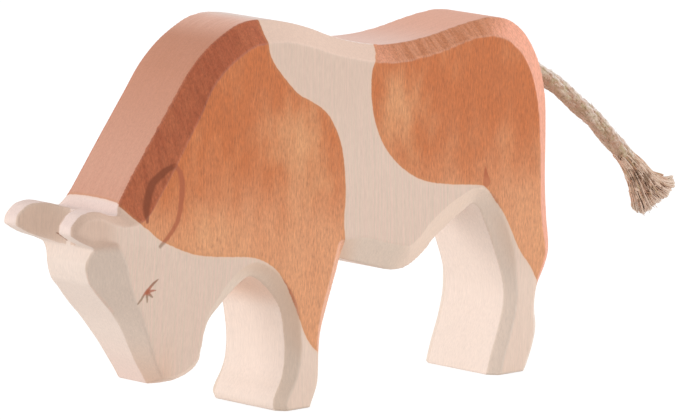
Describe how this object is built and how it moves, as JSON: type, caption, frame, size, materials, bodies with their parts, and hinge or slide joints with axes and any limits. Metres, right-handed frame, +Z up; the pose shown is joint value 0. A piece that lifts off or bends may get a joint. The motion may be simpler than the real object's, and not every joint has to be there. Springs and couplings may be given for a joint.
{
  "type": "wooden toy bull",
  "caption": "Solid wooden toy bull sawn from a thick board with hand-cut chamfers, notched horns, painted patches and a frayed rope tail set in its rump; stands on its flat soles.",
  "frame": {"origin": "on the ground under the middle of the wooden block, where its two soles rest", "axes": "+Z up, +X from the head to the tail along the board, +Y through the board's thickness; the head points to -X"},
  "size_m": [0.2154, 0.028, 0.0989],
  "materials": {
    "maple": "oiled maple, bare on the head, legs and middle, with thin reddish-orange patches over the shoulder and the rump",
    "hemp_rope": "laid three-strand hemp rope, matt and hairy",
    "hemp_tuft": "loose hemp fibres, matt"
  },
  "bodies": {
    "root": {"body_block": "maple", "tail_rope": "hemp_rope", "tail_tuft": "hemp_tuft"}
  },
  "joints": []
}
